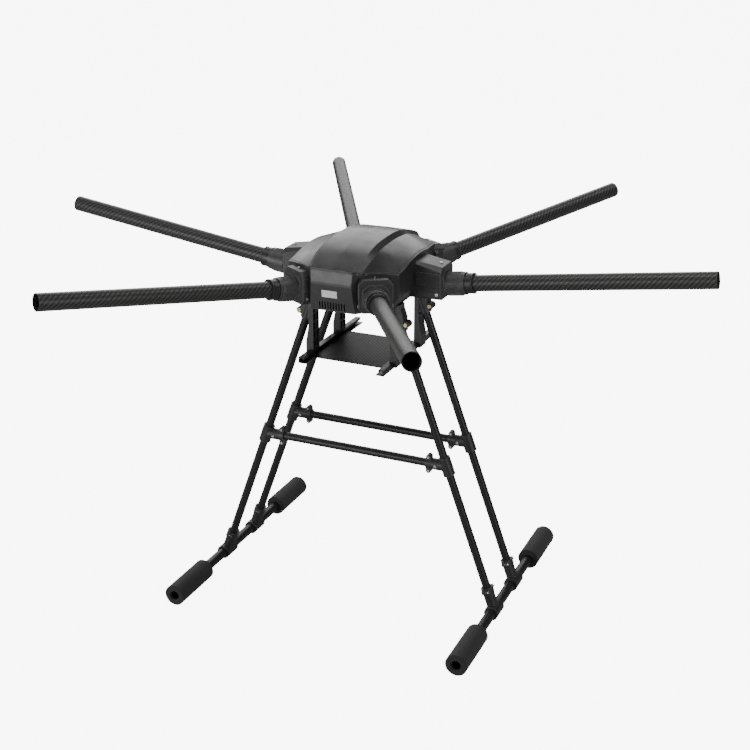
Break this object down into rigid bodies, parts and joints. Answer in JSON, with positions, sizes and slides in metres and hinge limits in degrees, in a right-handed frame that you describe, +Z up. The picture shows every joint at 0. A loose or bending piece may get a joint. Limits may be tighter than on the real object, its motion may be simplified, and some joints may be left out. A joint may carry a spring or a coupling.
{
  "type": "folding multirotor frame",
  "caption": "Frame of a multirotor: domed hub, folding composite arms with lock nuts, payload tray and tubular landing gear with foam feet.",
  "frame": {"origin": "on the ground below the hub's vertical axis", "axes": "+Z up, nose toward -Y, +X toward one side arm"},
  "size_m": [1.2916, 1.1304, 0.7245],
  "materials": {
    "canopy_shell": "satin",
    "hub_plastic": "satin",
    "seat_plastic": "fine texture",
    "joint_plastic": "satin",
    "nut_plastic": "matt",
    "arm_carbon": "woven composite, satin",
    "leg_carbon": "woven composite, fine",
    "bracket_plastic": "satin",
    "tee_plastic": "matt",
    "foam": "closed-cell foam",
    "plate_carbon": "woven composite sheet",
    "rail_aluminium": "black anodised",
    "plate_silver": "brushed, blank",
    "screw_steel": "machined",
    "pin_steel": "ground",
    "bolt_brass": "machined"
  },
  "bodies": {
    "hub": {"arm_seat_front_left": "seat_plastic", "arm_seat_front_right": "seat_plastic", "arm_seat_left": "seat_plastic", "arm_seat_rear_left": "seat_plastic", "arm_seat_rear_right": "seat_plastic", "arm_seat_right": "seat_plastic", "bracket_bolts": "bolt_brass", "canopy": "canopy_shell", "cross_tee_front_left": "tee_plastic", "cross_tee_front_right": "tee_plastic", "cross_tee_rear_left": "tee_plastic", "cross_tee_rear_right": "tee_plastic", "cross_tube_front": "leg_carbon", "cross_tube_rear": "leg_carbon", "fold_pins": "pin_steel", "foot_front_left": "foam", "foot_front_right": "foam", "foot_rear_left": "foam", "foot_rear_right": "foam", "hub_bottom_plate": "plate_carbon", "hub_shell": "hub_plastic", "hub_top_plate": "plate_carbon", "leg_bracket_front_left": "bracket_plastic", "leg_bracket_front_right": "bracket_plastic", "leg_bracket_rear_left": "bracket_plastic", "leg_bracket_rear_right": "bracket_plastic", "leg_front_left": "leg_carbon", "leg_front_right": "leg_carbon", "leg_rear_left": "leg_carbon", "leg_rear_right": "leg_carbon", "name_plate": "plate_silver", "rail_left": "rail_aluminium", "rail_right": "rail_aluminium", "seat_screws": "screw_steel", "skid_left": "leg_carbon", "skid_right": "leg_carbon", "skid_tee_front_left": "tee_plastic", "skid_tee_front_right": "tee_plastic", "skid_tee_rear_left": "tee_plastic", "skid_tee_rear_right": "tee_plastic", "tee_screws": "screw_steel", "tray": "plate_carbon"},
    "arm_front_right": {"arm_joint_front_right": "joint_plastic", "arm_tube_front_right": "arm_carbon"},
    "nut_front_right": {"lock_nut_front_right": "nut_plastic"},
    "arm_right": {"arm_joint_right": "joint_plastic", "arm_tube_right": "arm_carbon"},
    "nut_right": {"lock_nut_right": "nut_plastic"},
    "arm_rear_right": {"arm_joint_rear_right": "joint_plastic", "arm_tube_rear_right": "arm_carbon"},
    "nut_rear_right": {"lock_nut_rear_right": "nut_plastic"},
    "arm_rear_left": {"arm_joint_rear_left": "joint_plastic", "arm_tube_rear_left": "arm_carbon"},
    "nut_rear_left": {"lock_nut_rear_left": "nut_plastic"},
    "arm_left": {"arm_joint_left": "joint_plastic", "arm_tube_left": "arm_carbon"},
    "nut_left": {"lock_nut_left": "nut_plastic"},
    "arm_front_left": {"arm_joint_front_left": "joint_plastic", "arm_tube_front_left": "arm_carbon"},
    "nut_front_left": {"lock_nut_front_left": "nut_plastic"}
  },
  "joints": [
    {"name": "fold_front_right", "type": "hinge", "parent": "hub", "child": "arm_front_right", "pos_m": [0.08713, -0.15091, 0.62955], "axis": [0.866, 0.5, 0], "range_deg": [0, 98]},
    {"name": "nut_slide_front_right", "type": "slide", "parent": "arm_front_right", "child": "nut_front_right", "axis": [0.4951, -0.8576, 0.1392], "range_m": [0, 0.07]},
    {"name": "fold_right", "type": "hinge", "parent": "hub", "child": "arm_right", "pos_m": [0.17425, 0, 0.62955], "axis": [0, 1, 0], "range_deg": [0, 98]},
    {"name": "nut_slide_right", "type": "slide", "parent": "arm_right", "child": "nut_right", "axis": [0.9903, 0, 0.1392], "range_m": [0, 0.07]},
    {"name": "fold_rear_right", "type": "hinge", "parent": "hub", "child": "arm_rear_right", "pos_m": [0.08713, 0.15091, 0.62955], "axis": [-0.866, 0.5, 0], "range_deg": [0, 98]},
    {"name": "nut_slide_rear_right", "type": "slide", "parent": "arm_rear_right", "child": "nut_rear_right", "axis": [0.4951, 0.8576, 0.1392], "range_m": [0, 0.07]},
    {"name": "fold_rear_left", "type": "hinge", "parent": "hub", "child": "arm_rear_left", "pos_m": [-0.08713, 0.15091, 0.62955], "axis": [-0.866, -0.5, 0], "range_deg": [0, 98]},
    {"name": "nut_slide_rear_left", "type": "slide", "parent": "arm_rear_left", "child": "nut_rear_left", "axis": [-0.4951, 0.8576, 0.1392], "range_m": [0, 0.07]},
    {"name": "fold_left", "type": "hinge", "parent": "hub", "child": "arm_left", "pos_m": [-0.17425, 0, 0.62955], "axis": [0, -1, 0], "range_deg": [0, 98]},
    {"name": "nut_slide_left", "type": "slide", "parent": "arm_left", "child": "nut_left", "axis": [-0.9903, 0, 0.1392], "range_m": [0, 0.07]},
    {"name": "fold_front_left", "type": "hinge", "parent": "hub", "child": "arm_front_left", "pos_m": [-0.08713, -0.15091, 0.62955], "axis": [0.866, -0.5, 0], "range_deg": [0, 98]},
    {"name": "nut_slide_front_left", "type": "slide", "parent": "arm_front_left", "child": "nut_front_left", "axis": [-0.4951, -0.8576, 0.1392], "range_m": [0, 0.07]}
  ],
  "couplings": [
    {"joint": "nut_slide_front_right", "follows": "fold_front_right", "m_per_rad": 0.0409},
    {"joint": "nut_slide_right", "follows": "fold_right", "m_per_rad": 0.0409},
    {"joint": "nut_slide_rear_right", "follows": "fold_rear_right", "m_per_rad": 0.0409},
    {"joint": "nut_slide_rear_left", "follows": "fold_rear_left", "m_per_rad": 0.0409},
    {"joint": "nut_slide_left", "follows": "fold_left", "m_per_rad": 0.0409},
    {"joint": "nut_slide_front_left", "follows": "fold_front_left", "m_per_rad": 0.0409}
  ]
}
